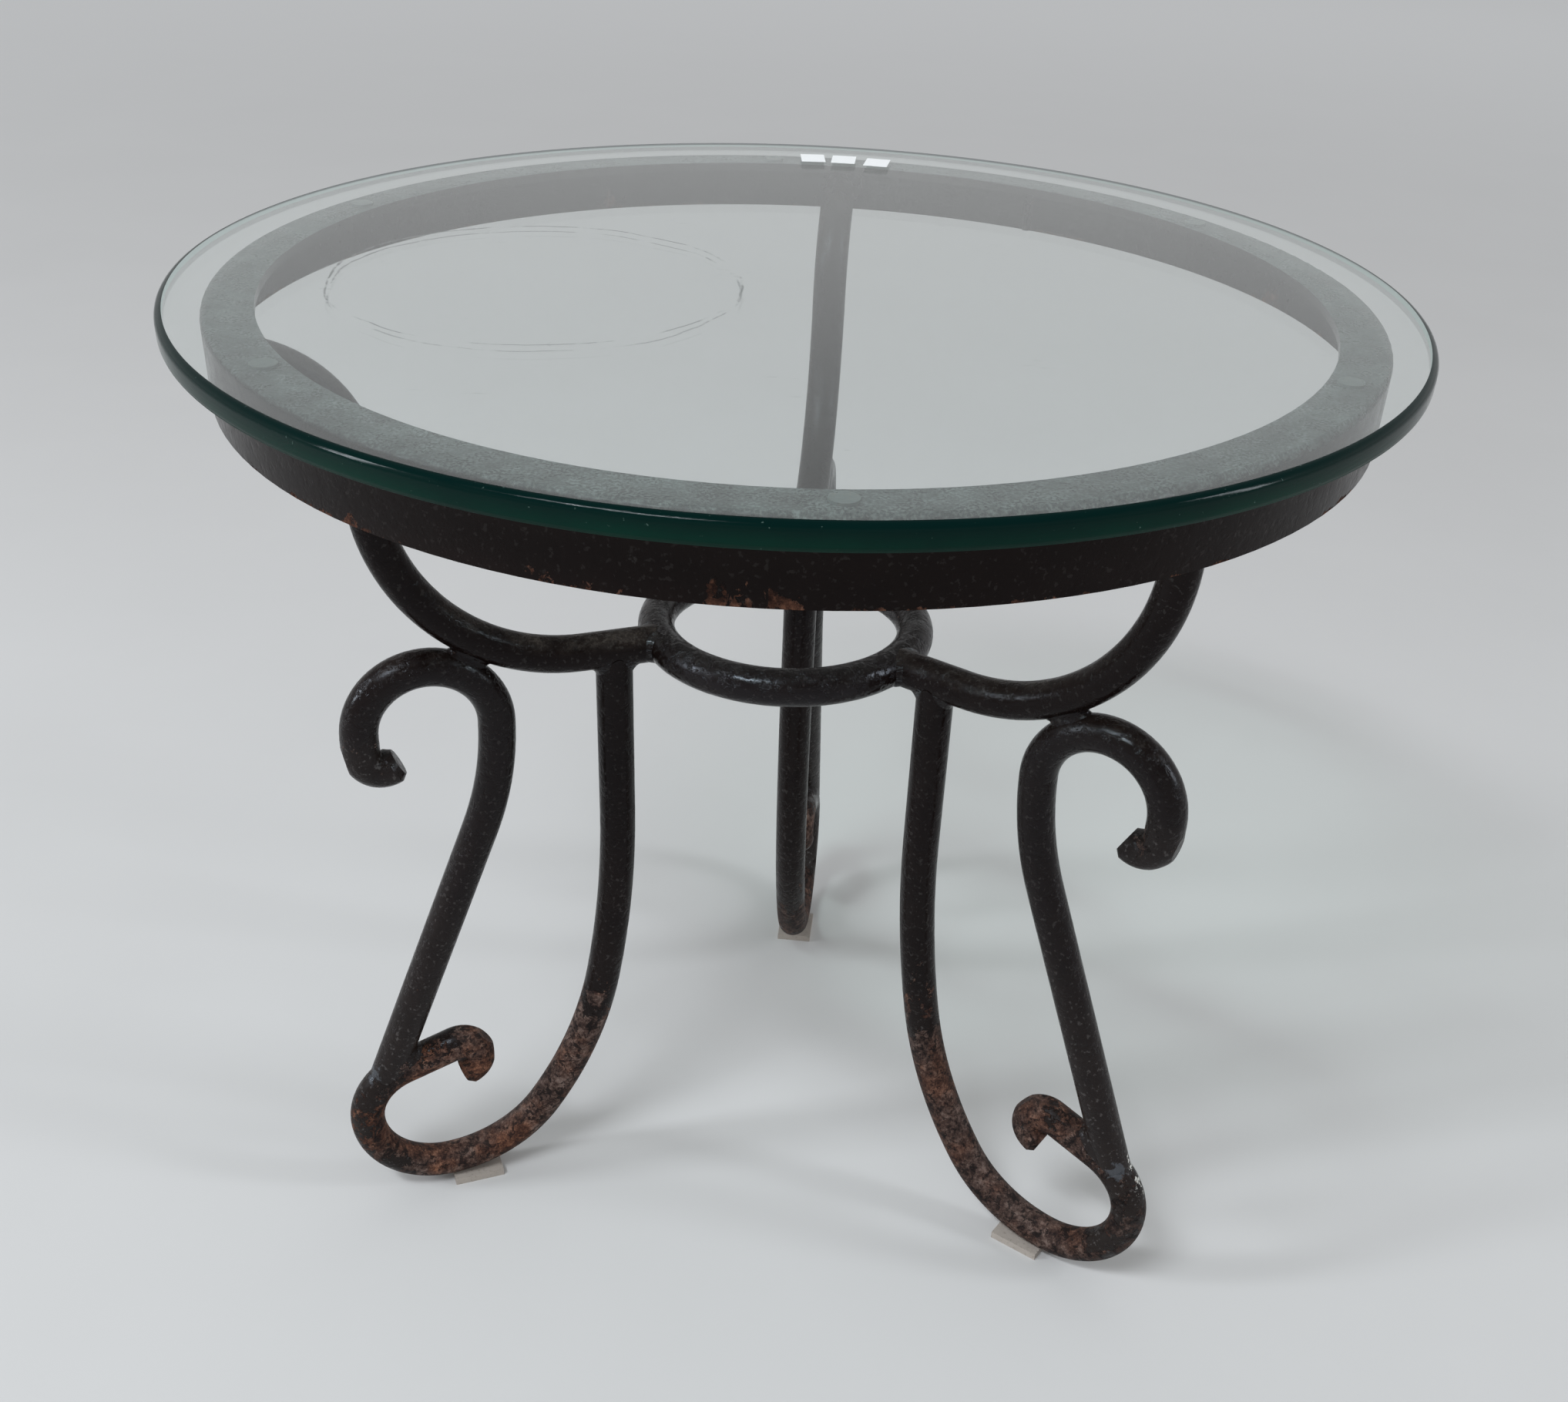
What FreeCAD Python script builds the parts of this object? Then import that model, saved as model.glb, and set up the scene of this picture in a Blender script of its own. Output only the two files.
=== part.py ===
import FreeCAD, Part
import math
import os

# Garden table: a round glass top on a rolled angle ring, carried by three
# scroll legs of round bar that meet at a small hub ring.
# Millimetres, +Z up, origin on the floor under the middle of the table.

# Glass top
glassDiameter = 600.0
glassThickness = 12.0
glassEdgeRound = 3.5
bumperDiameter = 12.0
bumperThickness = 1.2
bumperCount = 6
bumperStartAngle = 274.0

# Rolled angle ring under the glass, which stands out past it all round
glassOverhang = 19.0
bandHeight = 29.0
flangeWidth = 24.0
plateThickness = 4.0
ringHeelRound = 3.0
ringSeamAngle = 60.0
ringSeamRadius = 2.4

# Round bar and its fits
barDiameter = 20.0
fitGap = 0.3
beadGap = 0.15

# Hub ring where the three arms meet
hubRadius = 71.0
hubSeamAngle = 262.0
hubSeamWidth = 7.0
hubSeamRise = 0.9

# Arm: flares out under the ring flange, sweeps down and in, and runs straight to the hub
armFlareRadius = 58.0
armRunLength = 43.7

# Inner leg: hangs from the arm, bows out to the foot and curls over it
hubToLeg = 26.5
shinLength = 92.0
upperBowRadius = 600.0
upperBowAngle = 11.0
lowerBowRadius = 230.0
lowerBowAngle = 25.0
ankleRadius = 76.0
heelRadius = 46.0
heelAngle = 90.0
instepRadius = 36.0
instepAngle = 72.0
toeLength = 31.5
toeFoldAngle = 176.0
toeFlatCount = 4

# Outer scroll: rises from the foot and curls over under the arm
crownRadius = 36.0
crownSeatAngle = 58.5
stemBowRadius = 178.0
stemSeatAngle = 61.0
scrollDropLength = 9.5
scrollFoldAngle = 118.0
scrollFlatCount = 3

# Bar ends, folded back hard and hammered flat on the outside of the fold
foldGap = 0.7
flatDepth = 1.3
flatStepAngle = 43.0
tipTaperLength = 3.5
tipFaceDiameter = 15.0

# Feet
padLength = 30.0
padWidth = 24.0
padThickness = 4.5
padBite = 1.2
padRadius = 194.0

# Where each leg stands round the table, as the photograph shows it
leftLegAngle = 201.0
rightLegAngle = 325.0
backLegAngle = 85.0

# Weld beads
beadRadius = 3.2
hubBeadRadius = 7.0
crownBeadRadius = 8.5
footBeadRadius = 5.0

UP = FreeCAD.Vector(0, 0, 1)
ORIGIN = FreeCAD.Vector(0, 0, 0)
legAngles = {"left": leftLegAngle, "right": rightLegAngle, "back": backLegAngle}


def inPlane(r, z):
    """A point in a leg's own upright plane, r out from the table's axis."""
    return FreeCAD.Vector(r, 0, z)


def heading(degrees):
    """The direction in that plane, 0 outward and 90 up."""
    turn = math.radians(degrees)
    return FreeCAD.Vector(math.cos(turn), 0, math.sin(turn))


class BarPath:
    """Straights and tangent bends laid end to end, as a bar is formed on a jig."""

    def __init__(self, start, degrees):
        self.point = start
        self.degrees = degrees
        self.edges = []
        self.length = 0
        self.centres = []
        self.turns = []

    def straight(self, length):
        end = self.point + heading(self.degrees) * length
        self.edges.append(Part.LineSegment(self.point, end).toShape())
        self.length += length
        self.point = end
        return self

    def bend(self, radius, turn):
        """Bend through turn degrees: positive turns from outward towards up."""
        side = 1 if turn > 0 else -1
        centre = self.point + heading(self.degrees + side * 90) * radius
        middle = centre - heading(self.degrees + side * 90 + turn / 2) * radius
        end = centre - heading(self.degrees + side * 90 + turn) * radius
        self.edges.append(Part.Arc(self.point, middle, end).toShape())
        self.length += radius * math.radians(abs(turn))
        self.centres.append(centre)
        self.turns.append(turn)
        self.degrees += turn
        self.point = end
        return self

    def sweep(self, radius):
        """The round bar along this path; its volume is checked against its length."""
        wire = Part.Wire(self.edges)
        first = wire.Edges[0]
        start = first.valueAt(first.FirstParameter)
        along = first.tangentAt(first.FirstParameter)
        ring = Part.Wire([Part.Circle(start, along, radius).toShape()])
        bar = wire.makePipeShell([ring], True, False)
        expected = math.pi * radius ** 2 * self.length
        if abs(bar.Volume / expected - 1) > 0.001:
            raise ValueError("bar volume is off: %s against %s" % (bar.Volume, expected))
        return bar


def forgedBar(path, flatCount):
    """A bar whose last bend is the folded end: a short taper, and flats round the fold."""
    taper = Part.makeCone(barRadius, tipFaceDiameter / 2, tipTaperLength, path.point, heading(path.degrees))
    bar = path.sweep(barRadius).fuse(taper)
    centre = path.centres[-1]
    outward = path.point - centre
    side = 1 if path.turns[-1] > 0 else -1
    last = math.degrees(math.atan2(outward.z, outward.x))
    for number in range(flatCount):
        facing = last - side * flatStepAngle * (number + 0.5)
        bar = bar.cut(flat(centre, facing))
    return bar


def flat(centre, facing):
    """The block that a hammered flat takes off the outside of a fold."""
    block = Part.makeBox(barDiameter, 2 * barDiameter, 2 * barDiameter,
                         FreeCAD.Vector(foldRadius + barRadius - flatDepth, -barDiameter, -barDiameter))
    block.rotate(ORIGIN, FreeCAD.Vector(0, -1, 0), facing)
    block.translate(centre)
    return block


def trimmed(weld, bars):
    """Weld metal cut back to the bars that it joins, one bar at a time."""
    for bar in bars:
        weld = weld.cut(bar)
    return weld


def bead(centre, radius, outward, bars):
    """A blob of weld in the corner between bars."""
    return trimmed(Part.makeSphere(radius, centre, outward), bars)


def collar(centre, direction, bars):
    """A ring of weld round the end of a bar."""
    return trimmed(Part.makeTorus(barRadius, beadRadius, centre, direction), bars)


def around(shape, angle):
    """A copy of a leg's piece, turned to where that leg stands."""
    copy = shape.copy()
    copy.rotate(ORIGIN, UP, angle)
    return copy


def save(name, *solids):
    pieces = [solid for shape in solids for solid in shape.Solids]
    shape = pieces[0] if len(pieces) == 1 else Part.makeCompound(pieces)
    if not shape.isValid():
        raise ValueError("bad shape: " + name)
    shape.exportStep("parts/%s.step" % name)
    print("%-18s %d solid(s) %10.0f mm3" % (name, len(pieces), shape.Volume))


# Radii, from the glass in to the hub
barRadius = barDiameter / 2
foldRadius = barRadius + foldGap
ringOuterRadius = glassDiameter / 2 - glassOverhang
bandInnerRadius = ringOuterRadius - plateThickness
flangeInnerRadius = ringOuterRadius - flangeWidth
armEndRadius = bandInnerRadius - fitGap
armSweepRadius = armEndRadius - armFlareRadius - armRunLength - hubRadius
innerLegRadius = hubRadius + hubToLeg
stemToInstep = instepRadius * math.sin(math.radians(stemSeatAngle))

# Heights, from the floor up: the foot bar bites a little into its pad
footAxisHeight = padThickness - padBite + barRadius
bowAngle = upperBowAngle + lowerBowAngle
legDrop = (shinLength
           + upperBowRadius * math.sin(math.radians(upperBowAngle))
           + lowerBowRadius * (math.sin(math.radians(bowAngle)) - math.sin(math.radians(upperBowAngle)))
           + ankleRadius * (1 - math.sin(math.radians(bowAngle))))
hubHeight = footAxisHeight + legDrop + barRadius
armTopHeight = hubHeight + armSweepRadius + armFlareRadius
flangeUnderside = armTopHeight + barRadius + fitGap
flangeTop = flangeUnderside + plateThickness
glassUnderside = flangeTop + bumperThickness
tableHeight = glassUnderside + glassThickness


def makeGlass():
    disc = Part.makeCylinder(glassDiameter / 2, glassThickness, inPlane(0, glassUnderside))
    rims = [edge for edge in disc.Edges if edge.Closed]
    return disc.makeFillet(glassEdgeRound, rims)


def makeBumpers():
    middle = (flangeInnerRadius + bandInnerRadius) / 2
    seat = inPlane(middle, flangeTop)
    dot = Part.makeCylinder(bumperDiameter / 2, bumperThickness, seat)
    step = 360.0 / bumperCount
    return [around(dot, bumperStartAngle + step * number) for number in range(bumperCount)]


def makeRing(clearance):
    """The rolled angle, its inner faces drawn in by a clearance."""
    bottom = flangeTop - bandHeight
    underside = flangeUnderside - clearance
    bandInside = bandInnerRadius - clearance
    corners = [inPlane(flangeInnerRadius, underside), inPlane(bandInside, underside),
               inPlane(bandInside, bottom), inPlane(ringOuterRadius, bottom),
               inPlane(ringOuterRadius, flangeTop), inPlane(flangeInnerRadius, flangeTop)]
    section = Part.Face(Part.makePolygon(corners + corners[:1]))
    ring = section.revolve(ORIGIN, UP, 360)
    heel = [edge for edge in ring.Edges
            if abs(edge.BoundBox.XMax - ringOuterRadius) < fitGap and edge.BoundBox.ZMin > flangeUnderside
            and edge.BoundBox.ZLength < fitGap]
    return ring.makeFillet(ringHeelRound, heel)


def makeRingSeam(ringTool):
    """The weld that closes the rolled ring, inside the band."""
    height = flangeUnderside - (flangeTop - bandHeight)
    foot = inPlane(bandInnerRadius, flangeTop - bandHeight)
    bar = Part.makeCylinder(ringSeamRadius, height, foot)
    return around(bar.cut(ringTool), ringSeamAngle)


def makeHub(radius):
    return Part.makeTorus(hubRadius, radius, inPlane(0, hubHeight))


def makeHubSeam():
    """The butt weld that closes the hub ring, a low band round the bar."""
    arc = math.degrees(hubSeamWidth / hubRadius)
    sleeve = Part.Face([Part.Wire([Part.Circle(inPlane(hubRadius, hubHeight), FreeCAD.Vector(0, 1, 0),
                                               barRadius + rise).toShape()])
                        for rise in (hubSeamRise, beadGap)])
    sleeve.validate()
    return around(sleeve.revolve(ORIGIN, UP, arc), hubSeamAngle)


def armPath():
    path = BarPath(inPlane(armEndRadius, armTopHeight), 180)
    path.bend(armFlareRadius, 90)
    path.bend(armSweepRadius, -90)
    path.straight(armRunLength)
    return path


def innerLegPath():
    path = BarPath(inPlane(innerLegRadius, hubHeight), 270)
    path.straight(barRadius + shinLength)
    path.bend(upperBowRadius, upperBowAngle)
    path.bend(lowerBowRadius, lowerBowAngle)
    path.bend(ankleRadius, 90 - bowAngle)
    path.bend(heelRadius, heelAngle)
    path.bend(instepRadius, instepAngle)
    path.straight(toeLength)
    path.bend(foldRadius, toeFoldAngle)
    return path


def outerScrollPath(sweepCentre, instepCentre):
    """The stem, bowed just far enough to land on the instep, and the crown over it."""
    reach = armSweepRadius + barDiameter + fitGap + crownRadius
    crown = sweepCentre + heading(-crownSeatAngle) * reach
    stemTop = crown - inPlane(crownRadius, 0)
    bowCentre = stemTop + inPlane(stemBowRadius, 0)
    toInstep = instepCentre - bowCentre
    slope = math.degrees(math.atan2(toInstep.z, toInstep.x))
    swing = math.degrees(math.acos((-stemToInstep - stemBowRadius) / toInstep.Length))
    bow = slope + swing
    stemFoot = bowCentre - heading(bow) * stemBowRadius
    along = (instepCentre - stemFoot).dot(heading(bow - 90))
    runLength = along - instepRadius * math.cos(math.radians(stemSeatAngle))
    path = BarPath(stemFoot + heading(bow - 90) * runLength, bow + 90)
    path.straight(runLength)
    path.bend(stemBowRadius, -bow)
    path.bend(crownRadius, -180)
    path.straight(scrollDropLength)
    path.bend(foldRadius, -scrollFoldAngle)
    return path, bow


def makeLeg(ringTool):
    """One leg in its own plane: its bars, pad and weld beads by name."""
    arm = armPath()
    leg = innerLegPath()
    sweepCentre = arm.centres[1]
    instepCentre = leg.centres[4]
    scroll, stemBow = outerScrollPath(sweepCentre, instepCentre)

    armCope = arm.sweep(barRadius + fitGap)
    legCope = leg.sweep(barRadius + fitGap)
    hubCope = makeHub(barRadius + fitGap)
    armTool = arm.sweep(barRadius + beadGap)
    legTool = leg.sweep(barRadius + beadGap)
    scrollTool = scroll.sweep(barRadius + beadGap)
    hubTool = makeHub(barRadius + beadGap)

    parts = {}
    parts["arm"] = arm.sweep(barRadius).cut(hubCope)
    parts["inner_leg"] = forgedBar(leg, toeFlatCount).cut(armCope)
    parts["outer_scroll"] = forgedBar(scroll, scrollFlatCount).cut(legCope)
    pad = Part.makeBox(padLength, padWidth, padThickness,
                       FreeCAD.Vector(padRadius - padLength / 2, -padWidth / 2, 0))
    parts["foot_pad"] = pad.cut(legTool)

    armEnd = inPlane(armEndRadius, armTopHeight)
    parts["ring_arm_weld"] = collar(armEnd, heading(0), [armTool, ringTool])
    hubReach = math.sqrt((hubRadius + barRadius) ** 2 - barRadius ** 2)
    hubBeads = []
    for side in (-1, 1):
        corner = FreeCAD.Vector(hubReach, side * barRadius, hubHeight)
        hubBeads.append(bead(corner, hubBeadRadius, FreeCAD.Vector(1, side, 0), [armTool, hubTool]))
    parts["hub_arm_weld"] = Part.makeCompound(hubBeads)
    legEnd = inPlane(innerLegRadius, hubHeight - barRadius)
    parts["leg_arm_weld"] = collar(legEnd, UP, [armTool, legTool])
    down = heading(-crownSeatAngle)
    seat = sweepCentre + down * (armSweepRadius + barRadius + fitGap / 2)
    parts["crown_weld"] = bead(seat, crownBeadRadius, down, [armTool, scrollTool])
    beads = []
    for side in (-1, 1):
        offset = stemToInstep + side * barRadius
        reach = math.sqrt((instepRadius + barRadius) ** 2 - offset ** 2)
        corner = instepCentre + heading(stemBow) * offset + heading(90 + stemBow) * reach
        outward = heading(stemBow) * side + heading(90 + stemBow)
        beads.append(bead(corner, footBeadRadius, outward, [legTool, scrollTool]))
    parts["foot_weld"] = Part.makeCompound(beads)
    return parts


os.makedirs("parts", exist_ok=True)
ringTool = makeRing(beadGap)
save("glass_top", makeGlass())
save("glass_bumpers", *makeBumpers())
save("ring_frame", makeRing(0))
save("ring_seam_weld", makeRingSeam(ringTool))
legParts = makeLeg(ringTool)
save("hub_ring", makeHub(barRadius))
save("hub_seam_weld", makeHubSeam())
for kind in ("arm", "inner_leg", "outer_scroll", "foot_pad"):
    for side, angle in legAngles.items():
        save("%s_%s" % (kind, side), around(legParts[kind], angle))
for kind in ("ring_arm_weld", "hub_arm_weld", "leg_arm_weld", "crown_weld", "foot_weld"):
    save(kind + "s", *[around(legParts[kind], angle) for angle in legAngles.values()])
print("table height", round(tableHeight, 2), "hub height", round(hubHeight, 2))
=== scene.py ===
import math
import bmesh
import bpy
from mathutils import Matrix, Vector, noise
from mathutils.bvhtree import BVHTree


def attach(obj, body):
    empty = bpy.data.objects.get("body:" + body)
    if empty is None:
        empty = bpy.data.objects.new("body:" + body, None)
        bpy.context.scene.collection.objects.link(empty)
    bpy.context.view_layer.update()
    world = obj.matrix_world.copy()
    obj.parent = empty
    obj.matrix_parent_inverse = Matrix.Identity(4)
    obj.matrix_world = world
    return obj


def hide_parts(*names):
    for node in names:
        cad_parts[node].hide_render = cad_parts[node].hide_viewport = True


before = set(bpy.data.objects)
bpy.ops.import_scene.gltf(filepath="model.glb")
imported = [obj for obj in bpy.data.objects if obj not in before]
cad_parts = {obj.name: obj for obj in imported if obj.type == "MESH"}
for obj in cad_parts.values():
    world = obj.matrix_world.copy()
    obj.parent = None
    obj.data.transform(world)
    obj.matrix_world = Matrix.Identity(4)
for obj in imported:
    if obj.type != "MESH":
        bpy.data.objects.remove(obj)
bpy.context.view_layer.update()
scene = bpy.context.scene
scene.view_settings.view_transform = "Standard"
print("frame loaded:", len(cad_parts), "nodes")


# small helpers for node trees
def wire(tree, node, inputs):
    for name, value in inputs.items():
        if isinstance(value, bpy.types.NodeSocket):
            tree.links.new(value, node.inputs[name])
        else:
            node.inputs[name].default_value = value


def put(tree, kind, inputs=None, **settings):
    node = tree.nodes.new(kind)
    for name, value in settings.items():
        setattr(node, name, value)
    wire(tree, node, inputs or {})
    return node


def maths(tree, operation, a, b=0.0, clamp=False):
    return put(tree, "ShaderNodeMath", {0: a, 1: b}, operation=operation, use_clamp=clamp).outputs[0]


def plus(tree, a, b, clamp=False):
    return maths(tree, "ADD", a, b, clamp)


def minus(tree, a, b, clamp=False):
    return maths(tree, "SUBTRACT", a, b, clamp)


def times(tree, a, b, clamp=False):
    return maths(tree, "MULTIPLY", a, b, clamp)


def most(tree, first, *others, clamp=False):
    for other in others:
        first = maths(tree, "MAXIMUM", first, other, clamp)
    return first


def unsigned(tree, a):
    return maths(tree, "ABSOLUTE", a)


def ramp(tree, value, low, high, start=0.0, end=1.0):
    inputs = {"Value": value, "From Min": low, "From Max": high, "To Min": start, "To Max": end}
    return put(tree, "ShaderNodeMapRange", inputs, interpolation_type="SMOOTHSTEP").outputs[0]


def blend(tree, factor, a, b, mode="MIX"):
    return put(tree, "ShaderNodeMix", {0: factor, 6: a, 7: b}, data_type="RGBA", blend_type=mode).outputs[2]


def shared(tree, a, b, share):
    return plus(tree, times(tree, a, 1.0 - share), times(tree, b, share))


# a grain is scale, detail, roughness and, where it has one, distortion
def noiseAt(tree, vector, scale, detail, roughness, distortion=0.0):
    inputs = {"Vector": vector, "Scale": scale, "Detail": detail, "Roughness": roughness,
              "Distortion": distortion}
    return put(tree, "ShaderNodeTexNoise", inputs).outputs["Fac"]


# steps are where a ramp starts and ends and, where they aren't 0 and 1, what it gives there
def patchy(tree, vector, grain, steps):
    return ramp(tree, noiseAt(tree, vector, *grain), *steps)


def wobble(tree, vector, grain, reach):
    return times(tree, minus(tree, noiseAt(tree, vector, *grain), 0.5), reach)


def mapped(tree, vector, **changes):
    return put(tree, "ShaderNodeMapping", {"Vector": vector, **changes}).outputs[0]


def axesOf(tree, vector):
    return put(tree, "ShaderNodeSeparateXYZ", {0: vector}).outputs


def joined(tree, x, y, z):
    return put(tree, "ShaderNodeCombineXYZ", {0: x, 1: y, 2: z}).outputs[0]


def gapTo(tree, vector, place):
    return put(tree, "ShaderNodeVectorMath", {0: vector, 1: place}, operation="DISTANCE").outputs["Value"]


# a relief is a bump's distance and strength
def bumped(tree, height, relief, under=None):
    inputs = {"Height": height, "Distance": relief[0], "Strength": relief[1]}
    if under is not None:
        inputs["Normal"] = under
    return put(tree, "ShaderNodeBump", inputs).outputs[0]


def startTree(name, kind, inputs, outputs):
    tree = bpy.data.node_groups.new(name, kind)
    for side, sockets in (("INPUT", inputs), ("OUTPUT", outputs)):
        for label, socket in sockets.items():
            tree.interface.new_socket(label, in_out=side, socket_type="NodeSocket" + socket)
    return tree, tree.nodes.new("NodeGroupInput").outputs, tree.nodes.new("NodeGroupOutput")


def useGroup(tree, group, inputs):
    return put(tree, "ShaderNodeGroup", inputs, node_tree=group).outputs


def startMaterial(name):
    material = bpy.data.materials.new(name)
    material.use_nodes = True
    tree = material.node_tree
    tree.nodes.clear()
    shader = tree.nodes.new("ShaderNodeBsdfPrincipled")
    put(tree, "ShaderNodeOutputMaterial", {"Surface": shader.outputs[0]})
    where = tree.nodes.new("ShaderNodeTexCoord").outputs["Object"]
    return material, tree, shader, where


# lets the light that the factor picks straight through, tinted
def mixInClear(tree, shader, factor, tint):
    clear = put(tree, "ShaderNodeBsdfTransparent", {"Color": tint})
    mix = put(tree, "ShaderNodeMixShader", {0: factor, 1: shader.outputs[0], 2: clear.outputs[0]})
    wire(tree, tree.get_output_node("ALL"), {"Surface": mix.outputs[0]})


# runs a geometry tree on a start mesh and turns the result into a plain mesh
def grow(name, plan, values, start=None):
    host = bpy.data.objects.new(name, start or bpy.data.meshes.new(name + "_start"))
    scene.collection.objects.link(host)
    growth = host.modifiers.new("growth", "NODES")
    growth.node_group = plan
    for item in plan.interface.items_tree:
        if item.in_out == "INPUT" and item.name in values:
            growth[item.identifier] = values[item.name]
    host.update_tag()
    mesh = bpy.data.meshes.new_from_object(host.evaluated_get(bpy.context.evaluated_depsgraph_get()))
    mesh.name = name
    host.modifiers.remove(growth)
    host.data = mesh
    print(name, len(mesh.polygons), "faces")
    return host


def dress(material, *names):
    for name in names:
        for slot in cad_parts[name].material_slots:
            slot.material = material


# rust that blooms in crisp, ragged patches: where it is, its colour and its crust
rustLook = {
    "patchGrain": (7.0, 0.68, 0.5), "specks": (620.0, 3.0, 0.6), "speckShare": 0.22,
    "edge": 0.27, "edgeSpan": 0.46, "edgeSoft": 0.022,
    "hue": (130.0, 6.0, 0.78), "fineHue": (480.0, 3.0, 0.7), "fineShare": 0.28,
    "brown": [(0.41, (0.016, 0.010, 0.009, 1)), (0.47, (0.052, 0.031, 0.025, 1)),
              (0.53, (0.100, 0.064, 0.052, 1)), (0.60, (0.200, 0.142, 0.120, 1))],
    "orange": [(0.40, (0.030, 0.012, 0.009, 1)), (0.47, (0.070, 0.028, 0.016, 1)),
               (0.53, (0.125, 0.048, 0.026, 1)), (0.61, (0.260, 0.105, 0.050, 1))],
    "flakes": (230.0, 5.0, 0.7, 0.6), "flakeSteps": (0.54, 0.565, 0.0, 0.85),
    "flakeColour": (0.0100, 0.0065, 0.0058, 1), "crust": (420.0, 5.0, 0.7), "crustBase": 0.35}


def colourBand(tree, factor, stops):
    band = put(tree, "ShaderNodeValToRGB", {"Fac": factor})
    elements = band.color_ramp.elements
    elements[0].position, elements[0].color = stops[0]
    elements[1].position, elements[1].color = stops[-1]
    for place, colour in stops[1:-1]:
        elements.new(place).color = colour
    return band.outputs["Color"]


def makeRustGroup():
    look = rustLook
    tree, given, out = startTree(
        "rustBloom", "ShaderNodeTree",
        {"Vector": "Vector", "Spread": "Float", "Patch Scale": "Float", "Orange": "Float"},
        {"Mask": "Float", "Color": "Color", "Height": "Float"})
    where = given["Vector"]
    patches = noiseAt(tree, where, given["Patch Scale"], *look["patchGrain"])
    level = shared(tree, patches, noiseAt(tree, where, *look["specks"]), look["speckShare"])
    edge = plus(tree, times(tree, minus(tree, 1.0, given["Spread"]), look["edgeSpan"]), look["edge"])
    mask = put(tree, "ShaderNodeMapRange", {"Value": level, "From Min": edge,
                                            "From Max": plus(tree, edge, look["edgeSoft"])}).outputs[0]
    hue = noiseAt(tree, where, *look["hue"])
    hue = shared(tree, hue, noiseAt(tree, where, *look["fineHue"]), look["fineShare"])
    brown, orange = colourBand(tree, hue, look["brown"]), colourBand(tree, hue, look["orange"])
    tone = blend(tree, given["Orange"], brown, orange)
    flakes = patchy(tree, where, look["flakes"], look["flakeSteps"])
    crust = plus(tree, noiseAt(tree, where, *look["crust"]), look["crustBase"])
    wire(tree, out, {"Mask": mask, "Color": blend(tree, flakes, tone, look["flakeColour"]),
                     "Height": times(tree, crust, mask)})
    return tree


# brushed-on satin paint over hammered bar: hammer dents, pits, brush drag and pale specks
paintLook = {
    "dentSoft": 0.8, "dentShare": 0.32, "waves": (34.0, 3.0, 0.5), "waveShare": 0.55,
    "peel": (330.0, 4.0, 0.65), "peelShare": 0.21, "pits": (210.0, 4.0, 0.6), "pitSteps": (0.50, 0.66),
    "shade": (60.0, 5.0, 0.65), "fresh": [(0.0036, 0.0015, 0.0013, 1), (0.0078, 0.0041, 0.0035, 1)],
    "old": [(0.008, 0.006, 0.0055, 1), (0.034, 0.025, 0.021, 1)],
    "specks": (430.0, 2.0, 0.5), "speckSteps": (0.60, 0.69), "speckBase": 0.14,
    "speckColour": (0.074, 0.066, 0.063, 1),
    "gloss": (85.0, 4.0, 0.6), "glossSteps": (0.35, 0.68, 0.13, 0.27), "wornRough": 0.22, "shine": 0.135}


def makePaintGroup():
    look = paintLook
    tree, given, out = startTree(
        "hammeredPaint", "ShaderNodeTree",
        {"Vector": "Vector", "Dent Size": "Float", "Worn": "Float", "Pits": "Float"},
        {"Height": "Float", "Color": "Color", "Roughness": "Float"})
    where = given["Vector"]
    dents = put(tree, "ShaderNodeTexVoronoi", {"Vector": where, "Scale": given["Dent Size"],
                                               "Smoothness": look["dentSoft"]}, feature="SMOOTH_F1")
    waves = times(tree, noiseAt(tree, where, *look["waves"]), look["waveShare"])
    height = plus(tree, times(tree, dents.outputs["Distance"], look["dentShare"]), waves)
    height = plus(tree, height, times(tree, noiseAt(tree, where, *look["peel"]), look["peelShare"]))
    pits = patchy(tree, where, look["pits"], look["pitSteps"])
    height = minus(tree, height, times(tree, pits, given["Pits"]))
    shade = noiseAt(tree, where, *look["shade"])
    colour = blend(tree, given["Worn"], blend(tree, shade, *look["fresh"]), blend(tree, shade, *look["old"]))
    speck = patchy(tree, where, look["specks"], look["speckSteps"])
    speck = times(tree, speck, plus(tree, given["Worn"], look["speckBase"]), clamp=True)
    gloss = patchy(tree, where, look["gloss"], look["glossSteps"])
    wire(tree, out, {"Height": height, "Color": blend(tree, speck, colour, look["speckColour"]),
                     "Roughness": plus(tree, gloss, times(tree, given["Worn"], look["wornRough"]))})
    return tree


# dust that settles on faces turned upwards
dustLook = {"facing": (0.15, 0.95), "cloud": (55.0, 6.0, 0.7), "cloudSteps": (0.35, 0.7),
            "grit": (700.0, 2.0, 0.6), "gritSteps": (0.4, 0.7, 0.35, 1.0)}


def makeDustGroup():
    look = dustLook
    tree, given, out = startTree("settledDust", "ShaderNodeTree",
                                 {"Vector": "Vector", "Amount": "Float", "Even": "Float"}, {"Mask": "Float"})
    where = given["Vector"]
    up = axesOf(tree, tree.nodes.new("ShaderNodeNewGeometry").outputs["Normal"])[2]
    facing = ramp(tree, up, *look["facing"])
    cloud = patchy(tree, where, look["cloud"], [*look["cloudSteps"], given["Even"]])
    grit = patchy(tree, where, look["grit"], look["gritSteps"])
    wire(tree, out, {"Mask": times(tree, times(tree, facing, cloud), times(tree, grit, given["Amount"]))})
    return tree


rustBloom = makeRustGroup()
hammeredPaint = makePaintGroup()
settledDust = makeDustGroup()
print("shader groups ready")

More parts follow.
